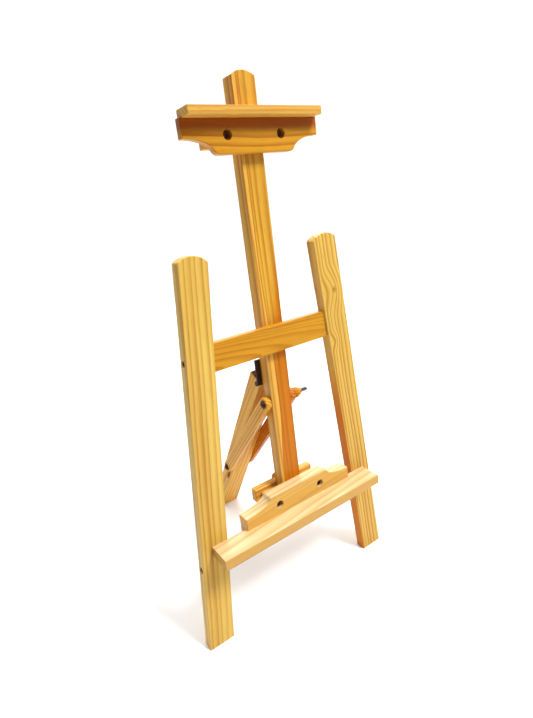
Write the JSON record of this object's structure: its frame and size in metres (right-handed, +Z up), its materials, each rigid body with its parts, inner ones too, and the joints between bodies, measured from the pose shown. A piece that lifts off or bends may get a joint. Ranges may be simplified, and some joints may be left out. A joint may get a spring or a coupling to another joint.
{
  "type": "tabletop easel",
  "caption": "Wooden tabletop easel: leaning frame with a hinged rear leg and slotted struts, and a tray and canvas holder that slide on a mast.",
  "frame": {"origin": "on the table, midway between the front of the tray and the back of the rear foot, on the front frame's centre line", "axes": "+Z up, +X towards the viewer's right, -Y towards the viewer; the canvas leans back towards +Y"},
  "size_m": [0.3522, 0.2983, 0.7462],
  "materials": {
    "pine": "clear satin varnish",
    "pine_heartwood": "clear satin varnish",
    "turned_wood": "clear satin varnish",
    "hinge_steel": "dark brown lacquer",
    "screw_bronze": "antique bronze plate",
    "bolt_steel": "zinc plate",
    "insert_brass": "plain"
  },
  "bodies": {
    "frame": {"left_leg": "pine", "right_leg": "pine", "leg_screws": "screw_bronze", "crossbar": "pine", "lower_rail": "pine", "mast": "pine_heartwood", "mast_screws": "screw_bronze", "hinge_fixed_leaf": "hinge_steel", "hinge_fixed_screws": "screw_bronze", "hinge_pin": "hinge_steel", "upper_bolt": "bolt_steel", "upper_washers": "bolt_steel"},
    "rear_leg": {"rear_leg": "pine", "hinge_moving_leaf": "hinge_steel", "hinge_leg_screws": "screw_bronze"},
    "struts": {"left_strut": "pine", "right_strut": "pine", "lower_bolt": "bolt_steel", "lower_washers": "bolt_steel", "lower_nut": "bolt_steel"},
    "upper_knob": {"upper_knob": "turned_wood", "upper_knob_insert": "insert_brass"},
    "tray": {"tray": "pine", "riser_board": "pine", "tray_rear_board": "pine", "tray_spacers": "pine", "riser_screws": "screw_bronze", "tray_screws": "screw_bronze", "tray_clamp_insert": "insert_brass"},
    "tray_clamp": {"tray_clamp_knob": "turned_wood", "tray_clamp_bolt": "bolt_steel"},
    "holder": {"holder_front_board": "pine", "holder_shelf": "pine", "holder_rear_board": "pine", "holder_spacers": "pine", "holder_screws": "screw_bronze", "shelf_screws": "screw_bronze", "holder_clamp_insert": "insert_brass"},
    "holder_clamp": {"holder_clamp_knob": "turned_wood", "holder_clamp_bolt": "bolt_steel"}
  },
  "joints": [
    {"name": "rear_leg_fold", "type": "hinge", "parent": "frame", "child": "rear_leg", "pos_m": [0.008, -0.04603, 0.34923], "axis": [1, 0, 0], "range_deg": [-14, 0]},
    {"name": "strut_swing", "type": "hinge", "parent": "frame", "child": "struts", "pos_m": [0.008, -0.06478, 0.32359], "axis": [1, 0, 0], "range_deg": [-15.2, 0]},
    {"name": "upper_knob_turn", "type": "hinge", "parent": "frame", "child": "upper_knob", "pos_m": [0.048, -0.06478, 0.32359], "axis": [1, 0, 0], "continuous": true},
    {"name": "tray_slide", "type": "slide", "parent": "frame", "child": "tray", "axis": [0, 0.1392, 0.9903], "range_m": [0, 0.05]},
    {"name": "tray_clamp_turn", "type": "hinge", "parent": "tray", "child": "tray_clamp", "pos_m": [0.008, -0.05339, 0.17253], "axis": [0, 0.9903, -0.1392], "continuous": true},
    {"name": "holder_slide", "type": "slide", "parent": "frame", "child": "holder", "axis": [0, 0.1392, 0.9903], "range_m": [-0.105, 0.032]},
    {"name": "holder_clamp_turn", "type": "hinge", "parent": "holder", "child": "holder_clamp", "pos_m": [0.008, 0.01647, 0.66965], "axis": [0, 0.9903, -0.1392], "continuous": true}
  ],
  "couplings": [
    {"joint": "strut_swing", "follows": "rear_leg_fold", "ratio": 1.08}
  ]
}
